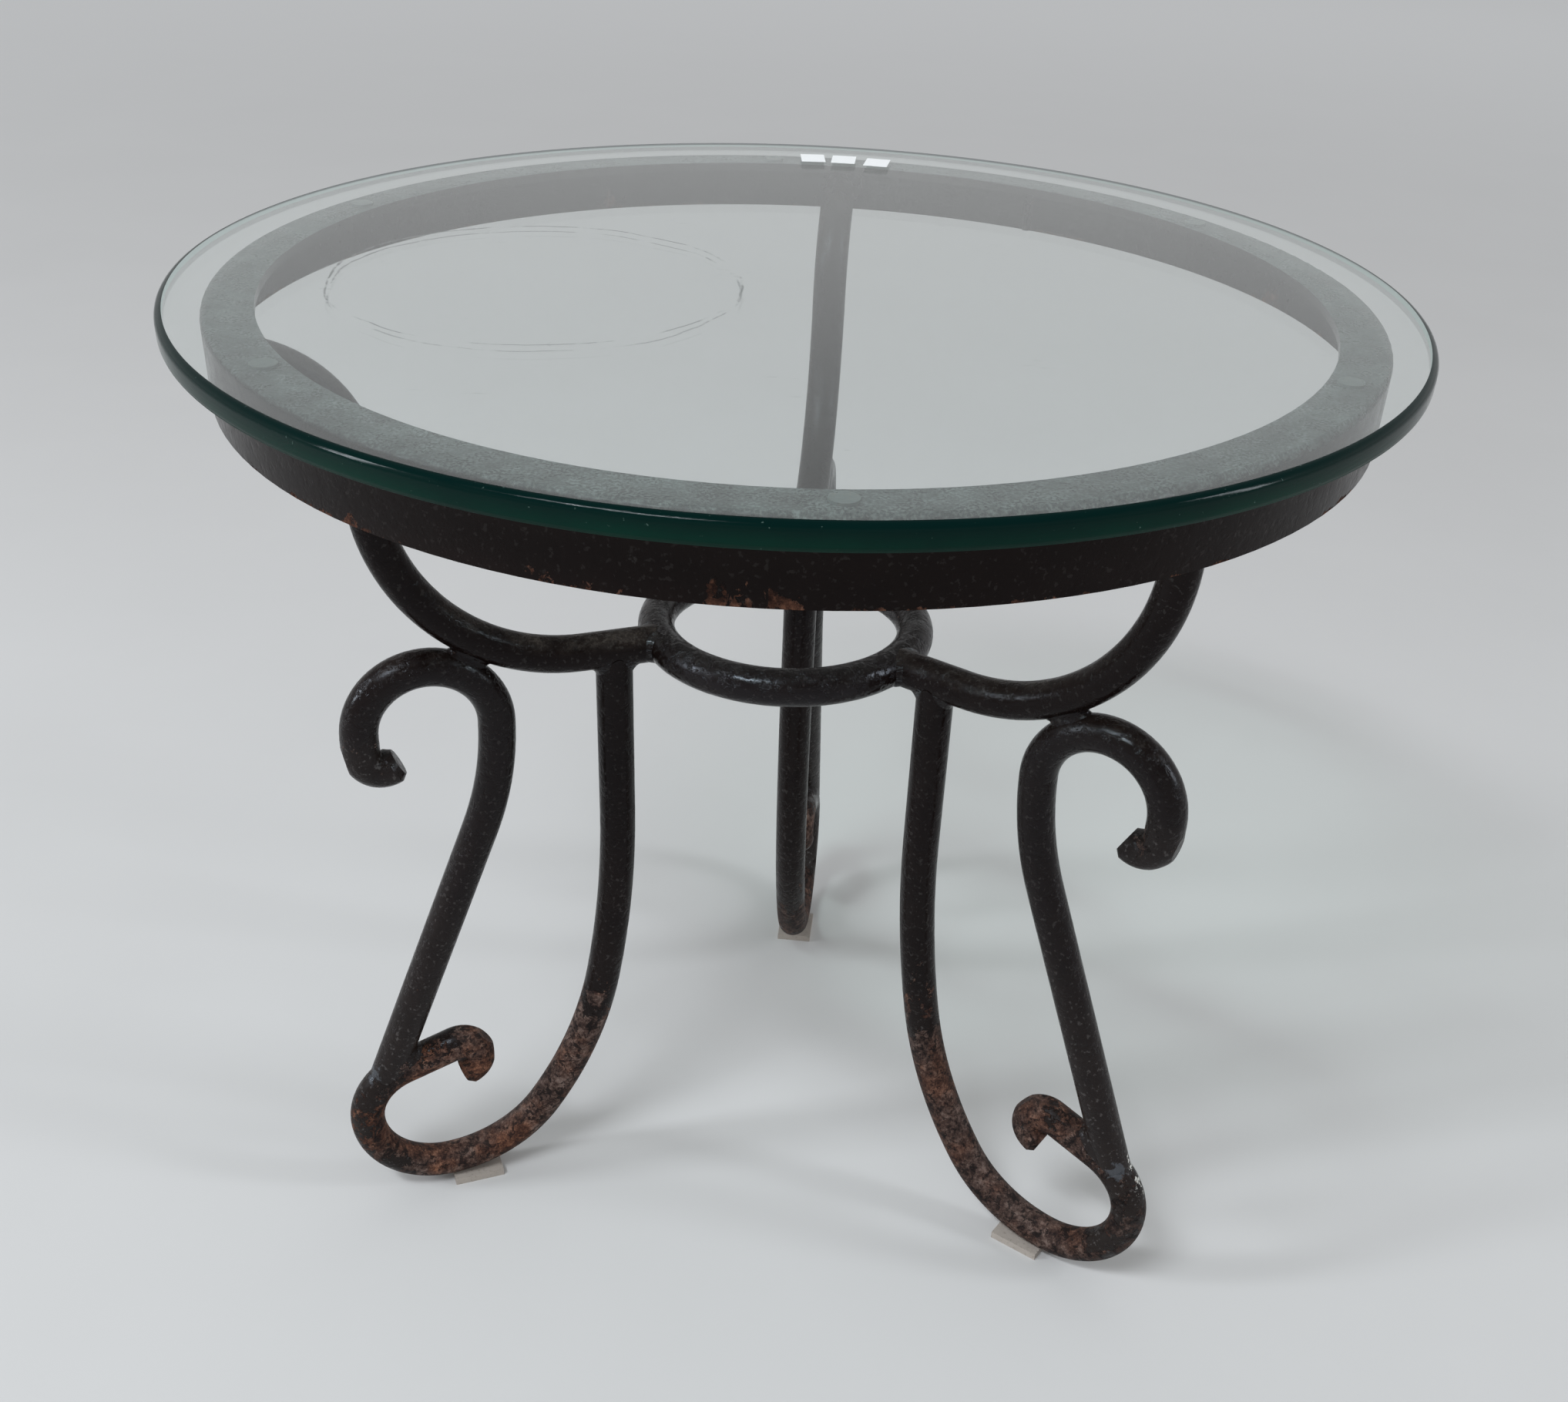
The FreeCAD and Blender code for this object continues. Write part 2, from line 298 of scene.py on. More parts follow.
# each leg keeps its own wear, and each kind of bar its share of it
# rust, orange, dark, ruddy, dust and worn run from none to full, top is how high rust climbs, and shift
# moves the patterns, so that no two legs are alike
# in a leg's own frame radius runs outwards, across to its left and height up from the floor
# a bare spot or a fleck is radius, across, height and reach
legWear = {
    "left": {"angle": 201.0, "rust": 0.86, "top": 0.165, "loopOrange": 0.9, "dark": 0.05, "ruddy": 0.80,
             "dust": 1.0, "shift": 3.1, "bare": [(0.252, 0.005, 0.097, 0.0065)], "flecks": []},
    "right": {"angle": 325.0, "rust": 0.84, "top": 0.20, "loopOrange": 0.25, "dark": 0.32, "ruddy": 0.60,
              "dust": 0.55, "shift": 11.7, "bare": [(0.247, -0.007, 0.093, 0.0055)],
              "flecks": [(0.2515, 0.002, 0.098, 0.0038), (0.2525, 0.002, 0.093, 0.0034),
                         (0.2590, 0.002, 0.0855, 0.0046), (0.2585, 0.001, 0.0800, 0.0036)]},
    "back": {"angle": 85.0, "rust": 0.55, "top": 0.12, "loopOrange": 0.2, "dark": 0.45, "ruddy": 0.50,
             "dust": 0.3, "shift": 23.9, "bare": [], "flecks": []}}
barWear = {"arm": {"rust": 0.10, "pits": 0.22, "dust": 0.85, "shine": 0.8, "worn": 0.0},
           "inner": {"rust": 1.0, "pits": 0.34, "dust": 0.5, "shine": 0.85, "worn": 0.25},
           "outer": {"rust": 0.42, "pits": 0.36, "dust": 0.4, "shine": 1.3, "worn": 0.50},
           "weld": {"rust": 0.55, "pits": 0.25, "dust": 0.5, "shine": 1.2, "worn": 0.35}}
# a place is radius and height, and a reach is where a mark starts and where it is full
legPlaces = {"loop": (0.2097, 0.0593), "loopReach": (0.0425, 0.0365), "loopSide": (0.185, 0.225),
             "crownTip": (0.231, 0.303), "crownReach": (0.028, 0.0098),
             "toeTip": (0.170, 0.108), "toeReach": (0.052, 0.0182),
             "heel": (0.215, 0.245), "hub": 0.089, "hubReach": (0.022, 0.006)}
legLook = {
    "wander": (30.0, 5.0, 0.7), "wanderReach": 0.10, "lowFull": 0.05, "heelRust": (1.0, 0.48),
    "crownRust": 0.22, "toeRust": 0.60, "rustBase": 0.13, "patchScale": 92.0, "loopHue": 0.8,
    "ruddy": (26.0, 4.0, 0.6), "ruddySteps": (0.44, 0.62), "ruddyHeight": (0.26, 0.18),
    "heelDark": 0.30, "darkRust": (0.22, 0.19, 0.18, 1), "rustRough": 0.56,
    "wornLow": 0.7, "wornHeight": (0.30, 0.08), "wornTip": 0.45, "wornBase": 0.08, "dentSize": 70.0,
    "dustShow": 0.75, "dustColour": (0.092, 0.070, 0.060, 1), "dustRough": 0.40,
    "spotEdge": (260.0, 4.0, 0.7), "spotWobble": 0.016, "spotCore": 0.7,
    "grindDraw": (1.0, 0.35, 3.2), "grind": (260.0, 4.0, 0.65), "grindSteps": (0.53, 0.60),
    "hubMarks": 0.55, "otherMarks": 0.08,
    "bareColour": (0.070, 0.073, 0.080, 1), "bareGloss": 0.1, "bareMetal": 0.35,
    "fleck": (330.0, 3.0, 0.6), "fleckSteps": (0.50, 0.55), "fleckColour": (0.55, 0.54, 0.50, 1),
    "dents": (0.0014, 0.55), "crust": (0.0012, 0.9), "sheen": (0.88, 0.93, 1.0, 1)}


def makeLegPaint(side, bar):
    wear, share, places, look = legWear[side], barWear[bar], legPlaces, legLook
    material, tree, shader, where = startMaterial("legPaint_" + side + "_" + bar)
    turned = mapped(tree, where, Rotation=(0, 0, -math.radians(wear["angle"])))
    shifted = mapped(tree, turned, Location=(wear["shift"], 0, 0))
    axes = axesOf(tree, turned)
    radius, height = axes[0], axes[2]
    flat = joined(tree, radius, 0.0, height)

    def near(place, reach):
        return ramp(tree, gapTo(tree, flat, (place[0], 0, place[1])), *reach)

    def spots(marks):
        found = 0.0
        ragged = wobble(tree, shifted, look["spotEdge"], look["spotWobble"])
        for x, y, z, reach in marks:
            gap = plus(tree, gapTo(tree, turned, (x, y, z)), ragged)
            found = most(tree, found, ramp(tree, gap, reach, reach * look["spotCore"]))
        return found

    # rust climbs from the floor, sits on the tips and is orange inside the foot loop
    wander = wobble(tree, shifted, look["wander"], look["wanderReach"])
    low = ramp(tree, plus(tree, height, wander), wear["top"], look["lowFull"])
    heel = ramp(tree, radius, *places["heel"], *look["heelRust"])
    foot = times(tree, times(tree, low, heel), wear["rust"] * share["rust"])
    crownTip = near(places["crownTip"], places["crownReach"])
    toeTip = near(places["toeTip"], places["toeReach"])
    tips = most(tree, times(tree, crownTip, look["crownRust"]), times(tree, toeTip, look["toeRust"]))
    inside = times(tree, near(places["loop"], places["loopReach"]),
                   ramp(tree, radius, *places["loopSide"], 0.0, wear["loopOrange"]))
    ruddy = patchy(tree, shifted, look["ruddy"], [*look["ruddySteps"], 0.0, wear["ruddy"]])
    ruddy = times(tree, ruddy, ramp(tree, height, *look["ruddyHeight"]))
    rust = useGroup(tree, rustBloom, {
        "Vector": shifted, "Spread": plus(tree, most(tree, foot, inside, tips), look["rustBase"], clamp=True),
        "Patch Scale": look["patchScale"], "Orange": most(tree, ruddy, times(tree, inside, look["loopHue"]))})

    # paint is worn near the floor and on the crown's tip
    downward = ramp(tree, height, *look["wornHeight"], 0.0, share["worn"])
    worn = most(tree, times(tree, low, look["wornLow"]), downward, times(tree, crownTip, look["wornTip"]))
    paint = useGroup(tree, hammeredPaint, {
        "Vector": shifted, "Dent Size": look["dentSize"], "Pits": share["pits"],
        "Worn": plus(tree, worn, look["wornBase"], clamp=True)})
    dust = useGroup(tree, settledDust, {"Vector": shifted, "Amount": wear["dust"] * share["dust"]})["Mask"]
    deep = plus(tree, wear["dark"], ramp(tree, radius, *places["heel"], 0.0, look["heelDark"]))
    crusted = blend(tree, deep, rust["Color"], look["darkRust"], "MULTIPLY")
    colour = blend(tree, rust["Mask"], paint["Color"], crusted)
    colour = blend(tree, times(tree, dust, look["dustShow"]), colour, look["dustColour"])
    rough = plus(tree, paint["Roughness"], times(tree, dust, look["dustRough"]))
    rough = most(tree, rough, times(tree, rust["Mask"], look["rustRough"]), clamp=True)

    # bare metal in spots and, on welds, in grinding marks, then flecks of pale paint
    bare, flecks = ([], []) if bar == "arm" else (wear["bare"], wear["flecks"])
    metal = spots(bare) if bare else 0.0
    if bar == "weld":
        drawn = mapped(tree, shifted, Scale=look["grindDraw"])
        ground = patchy(tree, drawn, look["grind"], look["grindSteps"])
        atHub = ramp(tree, unsigned(tree, minus(tree, radius, places["hub"])), *places["hubReach"])
        marks = plus(tree, times(tree, atHub, look["hubMarks"]), look["otherMarks"])
        metal = most(tree, metal, times(tree, ground, marks))
    if bare or bar == "weld":
        colour = blend(tree, metal, colour, look["bareColour"])
        rough = minus(tree, rough, times(tree, metal, look["bareGloss"]), clamp=True)
        wire(tree, shader, {"Metallic": times(tree, metal, look["bareMetal"])})
    if flecks:
        flake = times(tree, spots(flecks), patchy(tree, shifted, look["fleck"], look["fleckSteps"]))
        colour = blend(tree, flake, colour, look["fleckColour"])
    dents = bumped(tree, paint["Height"], look["dents"])
    wire(tree, shader, {"Base Color": colour, "Roughness": rough,
                        "Normal": bumped(tree, rust["Height"], look["crust"], dents),
                        "Specular IOR Level": paintLook["shine"] * share["shine"],
                        "Specular Tint": look["sheen"]})
    return material


for side in legWear:
    dress(makeLegPaint(side, "arm"), "arm_" + side)
    dress(makeLegPaint(side, "inner"), "inner_leg_" + side)
    dress(makeLegPaint(side, "outer"), "outer_scroll_" + side)
print("legs painted")

# ring band and flange: flat bar, near black, with a rust fringe and rust patches on its lower edge
# a patch is x, y, z and reach
ringWear = {
    "foot": 0.4997, "fringe": 0.50, "fringeHeight": 0.0035,
    "gate": (14.0, 4.0, 0.6), "gateSteps": (0.42, 0.6),
    "patches": [(-0.0220, -0.280, 0.503, 0.013), (-0.0125, -0.281, 0.500, 0.011),
                (-0.0020, -0.281, 0.500, 0.014), (-0.0687, -0.2725, 0.4990, 0.0065),
                (-0.1725, -0.2218, 0.4990, 0.007), (-0.0923, -0.2654, 0.4990, 0.0055),
                (0.150, -0.238, 0.4990, 0.006), (0.262, 0.102, 0.500, 0.015),
                (-0.120, 0.254, 0.500, 0.017), (0.02, 0.280, 0.500, 0.014)],
    "patchEdge": (90.0, 5.0, 0.7), "patchWobble": 0.030, "patchCore": 0.3, "patchRust": 0.66,
    "streakDraw": (1.0, 1.0, 0.22), "streak": (125.0, 5.0, 0.62), "climb": 8.0, "streakSteps": (0.33, 0.45),
    "rustBase": 0.10, "patchScale": 95.0, "orange": 0.75, "rustRough": 0.84,
    "rustTint": (0.52, 0.50, 0.52, 1), "rustTinted": 0.7, "dentSize": 30.0, "worn": 0.0, "pits": 0.12,
    "dust": 1.15, "even": 0.6, "dustColour": (0.212, 0.224, 0.220, 1), "dustRough": 0.3,
    "stain": (38.0, 6.0, 0.7, 0.8), "stainSteps": (0.40, 0.62, 0.7, 1.0),
    "scuff": (75.0, 6.0, 0.75), "scuffSteps": (0.66, 0.72, 0.0, 0.35),
    "scuffColour": (0.055, 0.050, 0.048, 1),
    "dents": (0.0012, 0.4), "crust": (0.0009, 0.9), "shine": 0.7}


def makeRingPaint():
    look = ringWear
    material, tree, shader, where = startMaterial("ringPaint")
    height = axesOf(tree, where)[2]
    ragged = wobble(tree, where, look["patchEdge"], look["patchWobble"])
    patch = 0.0
    for x, y, z, reach in look["patches"]:
        gap = plus(tree, gapTo(tree, where, (x, y, z)), ragged)
        patch = most(tree, patch, ramp(tree, gap, reach, reach * look["patchCore"]))
    streak = noiseAt(tree, mapped(tree, where, Scale=look["streakDraw"]), *look["streak"])
    above = times(tree, minus(tree, height, look["foot"]), look["climb"])
    patch = times(tree, patch, ramp(tree, minus(tree, streak, above), *look["streakSteps"]))
    lowEdge = ramp(tree, height, look["foot"] + look["fringeHeight"], look["foot"])
    gate = patchy(tree, where, look["gate"], look["gateSteps"])
    fringe = times(tree, times(tree, lowEdge, gate), look["fringe"])
    spread = most(tree, times(tree, patch, look["patchRust"]), fringe)
    rust = useGroup(tree, rustBloom, {
        "Vector": where, "Spread": plus(tree, spread, look["rustBase"], clamp=True),
        "Patch Scale": look["patchScale"], "Orange": times(tree, most(tree, patch, lowEdge), look["orange"])})
    paint = useGroup(tree, hammeredPaint, {
        "Vector": where, "Dent Size": look["dentSize"], "Worn": look["worn"], "Pits": look["pits"]})
    dust = {"Vector": where, "Amount": look["dust"], "Even": look["even"]}
    dust = useGroup(tree, settledDust, dust)["Mask"]
    scuff = patchy(tree, where, look["scuff"], look["scuffSteps"])
    colour = blend(tree, scuff, paint["Color"], look["scuffColour"])
    stain = patchy(tree, where, look["stain"], look["stainSteps"])
    colour = blend(tree, times(tree, dust, stain), colour, look["dustColour"])
    crusted = blend(tree, look["rustTinted"], rust["Color"], look["rustTint"], "MULTIPLY")
    rough = plus(tree, paint["Roughness"], times(tree, dust, look["dustRough"]))
    rough = most(tree, rough, times(tree, rust["Mask"], look["rustRough"]), clamp=True)
    dents = bumped(tree, paint["Height"], look["dents"])
    wire(tree, shader, {"Base Color": blend(tree, rust["Mask"], colour, crusted), "Roughness": rough,
                        "Normal": bumped(tree, rust["Height"], look["crust"], dents),
                        "Specular IOR Level": paintLook["shine"] * look["shine"]})
    return material


dress(makeRingPaint(), "ring_frame")

# hub ring: hammered satin black that shines in bluish streaks, rougher and more pitted on ring welds
hubWear = {
    "rust": 0.17, "patchScale": 80.0, "orange": 0.3, "rustRough": 0.85, "dentSize": 95.0, "worn": 0.06,
    "dust": 0.35, "dustShow": 0.45, "dustColour": (0.085, 0.078, 0.072, 1),
    "hub": {"rough": 0.0, "pits": 0.5}, "seam": {"rough": 0.08, "pits": 0.9},
    "dents": (0.0015, 0.6), "shine": 1.6, "sheen": (0.85, 0.9, 1.0, 1)}


def makeHubPaint(piece):
    look, own = hubWear, hubWear[piece]
    material, tree, shader, where = startMaterial(piece + "Paint")
    rust = useGroup(tree, rustBloom, {
        "Vector": where, "Spread": look["rust"], "Patch Scale": look["patchScale"], "Orange": look["orange"]})
    paint = useGroup(tree, hammeredPaint, {
        "Vector": where, "Dent Size": look["dentSize"], "Worn": look["worn"], "Pits": own["pits"]})
    dust = useGroup(tree, settledDust, {"Vector": where, "Amount": look["dust"]})["Mask"]
    colour = blend(tree, times(tree, dust, look["dustShow"]), paint["Color"], look["dustColour"])
    rough = plus(tree, paint["Roughness"], own["rough"])
    wire(tree, shader, {"Base Color": blend(tree, rust["Mask"], colour, rust["Color"]),
                        "Roughness": most(tree, rough, times(tree, rust["Mask"], look["rustRough"])),
                        "Normal": bumped(tree, paint["Height"], look["dents"]),
                        "Specular IOR Level": paintLook["shine"] * look["shine"],
                        "Specular Tint": look["sheen"]})
    return material


hubPaint = makeHubPaint("hub")
dress(hubPaint, "hub_ring")
dress(makeHubPaint("seam"), "ring_seam_weld", "ring_arm_welds")

# welds that run smoothly from bar to bar: the bars are melted together and softened, and only joints kept
weldShape = {"merge": 2e-6, "voxel": 0.0012, "soften": 0.5, "rounds": 110, "under": 0.00035, "sampled": 7,
             "ripple": 0.00030, "rippleSize": 330.0, "reach": 0.030, "showFrom": 0.00010, "showFull": 0.00050,
             "sink": 0.0004, "sideways": 0.7}
weldNodes = ["hub_arm_welds", "leg_arm_welds", "crown_welds", "foot_welds"]


def mergedCopy(names):
    built = bmesh.new()
    for name in names:
        built.from_mesh(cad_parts[name].data)
    bmesh.ops.remove_doubles(built, verts=built.verts, dist=weldShape["merge"])
    return built


def beadPlaces(name):
    built = mergedCopy([name])
    places, left = [], set(built.verts)
    while left:
        group, edge = set(), [next(iter(left))]
        while edge:
            vert = edge.pop()
            if vert not in group:
                group.add(vert)
                edge += [link.other_vert(vert) for link in vert.link_edges]
        left -= group
        places.append(sum((v.co for v in group), Vector()) / len(group))
    built.free()
    return places


def meltBars(names):
    built = mergedCopy(names)
    bars = BVHTree.FromBMesh(built)
    mesh = bpy.data.meshes.new("melt")
    built.to_mesh(mesh)
    built.free()
    holder = bpy.data.objects.new("melt", mesh)
    scene.collection.objects.link(holder)
    voxels = holder.modifiers.new("voxels", "REMESH")
    voxels.mode, voxels.voxel_size, voxels.use_smooth_shade = "VOXEL", weldShape["voxel"], True
    soft = holder.modifiers.new("soft", "SMOOTH")
    soft.factor, soft.iterations = weldShape["soften"], weldShape["rounds"]
    melted = bpy.data.meshes.new_from_object(holder.evaluated_get(bpy.context.evaluated_depsgraph_get()))
    bpy.data.objects.remove(holder)
    return melted, bars


def keepJoint(melted, bars, places, others):
    w = weldShape
    built = bmesh.new()
    built.from_mesh(melted)
    far = []
    for face in built.faces:
        middle = face.calc_center_median()
        gap = min((middle - p).length for p in places)
        if gap > w["reach"] or any((middle - p).length < gap for p in others):
            far.append(face)
    bmesh.ops.delete(built, geom=far, context="FACES")
    built.normal_update()

    def outside(point):
        place, normal, index, gap = bars.find_nearest(point)
        return gap if (point - place).dot(normal) > 0 else -gap

    # the softened skin has shrunk: it is lifted back to just under the bars, and sunk where no bead shows
    shrunk = sorted(outside(vert.co) for vert in list(built.verts)[::w["sampled"]])
    lift = -shrunk[len(shrunk) // 2] - w["under"]
    for vert in built.verts:
        moved = vert.co + vert.normal * lift
        shown = (outside(moved) - w["showFrom"]) / (w["showFull"] - w["showFrom"])
        shown = min(1.0, max(0.0, shown))
        ripple = noise.noise(vert.co * w["rippleSize"]) * w["ripple"] * shown
        vert.co = moved + vert.normal * (ripple - w["sink"] * (1 - shown))
    bmesh.ops.holes_fill(built, edges=[e for e in built.edges if e.is_boundary])
    for face in built.faces:
        face.smooth = True
    return built


def addRun(name, joints, materials, replaced):
    built = bmesh.new()
    for number, joint in enumerate(joints):
        for face in joint.faces:
            face.material_index = number
        shell = bpy.data.meshes.new("joint")
        joint.to_mesh(shell)
        joint.free()
        built.from_mesh(shell)
    mesh = bpy.data.meshes.new(name)
    built.to_mesh(mesh)
    built.free()
    for material in materials:
        mesh.materials.append(material)
    run = bpy.data.objects.new(name, mesh)
    scene.collection.objects.link(run)
    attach(run, "frame")
    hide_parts(replaced)
    print(name, len(mesh.polygons), "faces")


def makeWelds():
    paints = [makeLegPaint(side, "weld") for side in legWear]
    melted = {side: meltBars(["arm_" + side, "inner_leg_" + side, "outer_scroll_" + side, "hub_ring"])
              for side in legWear}
    beads = {name: beadPlaces(name) for name in weldNodes}
    for name in weldNodes:
        joints = []
        for side, wear in legWear.items():
            turn = math.radians(wear["angle"])
            along = Vector((math.cos(turn), math.sin(turn)))
            mine = {node: [p for p in beads[node] if p.xy.normalized().dot(along) > weldShape["sideways"]]
                    for node in weldNodes}
            others = [p for node in weldNodes if node != name for p in mine[node]]
            joints.append(keepJoint(*melted[side], mine[name], others))
        addRun(name + "_run", joints, paints, name)
    seam = keepJoint(*meltBars(["hub_ring", "hub_seam_weld"]), beadPlaces("hub_seam_weld"), [])
    addRun("hub_seam_run", [seam], [hubPaint], "hub_seam_weld")


makeWelds()
print("ring, hub and welds painted")

# glass top: clear float glass with faint scratches, a thin ring-shaped scuff and a few smears
glassLook = {
    "radius": 0.2999, "low": 0.52992, "high": 0.54180, "round": 0.0035, "steps": 288, "rows": 15, "rings": 5,
    "ior": 1.52, "tint": (0.955, 0.998, 0.988, 1), "shade": (0.86, 0.93, 0.90, 1),
    "scratchDraw": (1.0, 9.0, 1.0), "scratchTurn": (0, 0, 0.6),
    "scratch": (26.0, 6.0, 0.75), "scratchSteps": (0.67, 0.71),
    "scuffCentre": (-0.125, -0.025, 0.5419), "scuffRadius": 0.098, "scuffWidth": 0.0011,
    "scuffWander": (18.0, 3.0, 0.5), "scuffReach": 0.010,
    "scuffGate": (30.0, 5.0, 0.7), "gateSteps": (0.42, 0.56),
    "smears": [(-0.030, 0.000, 0.020), (-0.105, -0.122, 0.012), (0.125, -0.02, 0.010)],
    "smear": (240.0, 4.0, 0.7), "smearSteps": (0.56, 0.64, 0.0, 0.6),
    "haze": (7.0, 5.0, 0.6), "hazeSteps": (0.45, 0.75, 0.0, 0.03),
    "markRough": 0.25, "markShow": 0.6, "markColour": (0.35, 0.38, 0.37, 1)}


# a disc whose side bulges in a quarter round towards each face
def makePlatePlan():
    tree, given, out = startTree("roundedPlate", "GeometryNodeTree", {
        "Radius": "Float", "Thickness": "Float", "Round": "Float", "Middle Height": "Float",
        "Steps": "Int", "Face Material": "Material", "Rim Material": "Material"}, {"Geometry": "Geometry"})
    disc = put(tree, "GeometryNodeMeshCylinder", {
        "Vertices": given["Steps"], "Side Segments": glassLook["rows"], "Fill Segments": glassLook["rings"],
        "Radius": given["Radius"], "Depth": 1.0}, fill_type="TRIANGLE_FAN").outputs
    x, y, level = axesOf(tree, tree.nodes.new("GeometryNodeInputPosition").outputs[0])
    plain = 0.5 / glassLook["rows"]
    away = unsigned(tree, level)
    turn = times(tree, most(tree, minus(tree, away, plain), 0.0), math.pi / 2 / (0.5 - plain))
    inset = times(tree, given["Round"], minus(tree, 1.0, maths(tree, "COSINE", turn)))
    shrink = minus(tree, 1.0, maths(tree, "DIVIDE", inset, given["Radius"]))
    half = minus(tree, times(tree, given["Thickness"], 0.5), given["Round"])
    straight = times(tree, half, maths(tree, "DIVIDE", maths(tree, "MINIMUM", away, plain), plain))
    rise = plus(tree, straight, times(tree, given["Round"], maths(tree, "SINE", turn)))
    high = plus(tree, given["Middle Height"], times(tree, rise, maths(tree, "SIGN", level)))
    place = joined(tree, times(tree, x, shrink), times(tree, y, shrink), high)
    plate = put(tree, "GeometryNodeSetPosition", {"Geometry": disc["Mesh"], "Position": place}).outputs[0]
    plate = put(tree, "GeometryNodeSetShadeSmooth", {0: plate, 1: disc["Side"]}).outputs[0]
    faced = {"Geometry": plate, "Material": given["Face Material"]}
    plate = put(tree, "GeometryNodeSetMaterial", faced).outputs[0]
    rimmed = {"Geometry": plate, "Selection": disc["Side"], "Material": given["Rim Material"]}
    plate = put(tree, "GeometryNodeSetMaterial", rimmed).outputs[0]
    plate = put(tree, "GeometryNodeRealizeInstances", {0: plate}).outputs[0]
    wire(tree, out, {"Geometry": plate})
    return tree


def makeGlass():
    look = glassLook
    material, tree, shader, where = startMaterial("glassClear")
    drawn = mapped(tree, where, Scale=look["scratchDraw"], Rotation=look["scratchTurn"])
    scratches = patchy(tree, drawn, look["scratch"], look["scratchSteps"])
    wander = wobble(tree, where, look["scuffWander"], look["scuffReach"])
    gap = plus(tree, gapTo(tree, where, look["scuffCentre"]), wander)
    mark = ramp(tree, unsigned(tree, minus(tree, gap, look["scuffRadius"])), look["scuffWidth"], 0.0)
    mark = times(tree, mark, patchy(tree, where, look["scuffGate"], look["gateSteps"]))
    for x, y, reach in look["smears"]:
        gap = gapTo(tree, where, (x, y, look["scuffCentre"][2]))
        smear = patchy(tree, where, look["smear"], look["smearSteps"])
        mark = most(tree, mark, times(tree, ramp(tree, gap, reach, 0.0), smear))
    haze = patchy(tree, where, look["haze"], look["hazeSteps"])
    rough = plus(tree, haze, times(tree, most(tree, scratches, mark), look["markRough"]))
    colour = blend(tree, times(tree, mark, look["markShow"]), look["tint"], look["markColour"])
    wire(tree, shader, {"Base Color": colour, "Roughness": rough, "Transmission Weight": 1.0,
                        "IOR": look["ior"]})
    light = tree.nodes.new("ShaderNodeLightPath").outputs
    mixInClear(tree, shader, most(tree, light["Is Shadow Ray"], light["Is Diffuse Ray"]), look["shade"])
    return material


# the rim: ground, polished and dark green through its depth, with painted light that makes it paler green low
# down and deep green at its top, and from within a painted dark line, standing in for shade, over a pale foot
rimLook = {
    "deep": (0.0005, 0.0085, 0.0080, 1), "pale": (0.0010, 0.0340, 0.0200, 1), "paintedLightShares": (0.60, 0.05),
    "cloud": (16.0, 4.0, 0.6), "cloudSteps": (0.3, 0.7, 0.55, 1.15),
    "chip": (420.0, 3.0, 0.6), "chipSteps": (0.70, 0.74, 0.0, 0.5), "chipColour": (0.10, 0.16, 0.14, 1),
    "grindDraw": (1.0, 1.0, 14.0), "grind": (60.0, 4.0, 0.6), "relief": (0.00025, 0.35), "shine": 0.08,
    "gloss": (0.35, 0.7, 0.09, 0.18), "footFrom": 0.004, "footFull": 0.001, "footRough": 0.6,
    "inner": (0.62, 0.71, 0.69, 1), "paintedShadeLine": (0.13, 0.165, 0.165, 1),
    "innerFrom": 0.0012, "innerFull": 0.0030}


def makeRim():
    look, low = rimLook, glassLook["low"]
    material, tree, shader, where = startMaterial("glassRim")
    height = axesOf(tree, where)[2]
    # painted light: the rim is painted paler green towards its foot, fading to deep green at its top
    rise = ramp(tree, height, low, glassLook["high"], *look["paintedLightShares"])
    pale = times(tree, rise, patchy(tree, where, look["cloud"], look["cloudSteps"]), clamp=True)
    colour = blend(tree, pale, look["deep"], look["pale"])
    chip = patchy(tree, where, look["chip"], look["chipSteps"])
    grind = noiseAt(tree, mapped(tree, where, Scale=look["grindDraw"]), *look["grind"])
    foot = ramp(tree, height, low + look["footFrom"], low + look["footFull"], 0.0, look["footRough"])
    wire(tree, shader, {"Base Color": blend(tree, chip, colour, look["chipColour"]),
                        "Roughness": most(tree, ramp(tree, grind, *look["gloss"]), foot),
                        "Normal": bumped(tree, grind, look["relief"]), "Specular IOR Level": look["shine"]})
    # painted shade: seen from within, the top of the rim is tinted dark as a line over the pale foot
    edge = ramp(tree, height, low + look["innerFrom"], low + look["innerFull"])
    within = tree.nodes.new("ShaderNodeNewGeometry").outputs["Backfacing"]
    mixInClear(tree, shader, within, blend(tree, edge, look["inner"], look["paintedShadeLine"]))
    return material


plate = grow("glass_plate", makePlatePlan(), {
    "Radius": glassLook["radius"], "Thickness": glassLook["high"] - glassLook["low"],
    "Round": glassLook["round"], "Middle Height": (glassLook["high"] + glassLook["low"]) / 2,
    "Steps": glassLook["steps"], "Face Material": makeGlass(), "Rim Material": makeRim()})
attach(plate, "glass")
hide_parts("glass_top")

# stick-on dots between glass and flange, tinted grey as painted light that stands in for the lit flange seen
# through clear vinyl, and the cloudy pads under the feet
plasticLook = {
    # painted light: the dot's grey tint and low clearness stand in for the lit, dusty flange beneath a clear
    # dot
    "dot": {"tint": (0.130, 0.140, 0.136), "clearness": 0.25, "rough": 0.25},
    "pad": {"tint": (0.38, 0.335, 0.295), "clearness": 0.08, "rough": 0.45},
    "cloud": (150.0, 5.0, 0.65), "cloudSteps": (0.3, 0.7), "paler": 1.2, "rougher": 0.15,
    "dirt": (420.0, 4.0, 0.7), "dirtSteps": (0.55, 0.68, 0.0, 0.55), "dirtColour": (0.20, 0.17, 0.13, 1),
    "relief": (0.001, 0.6), "ior": 1.45}


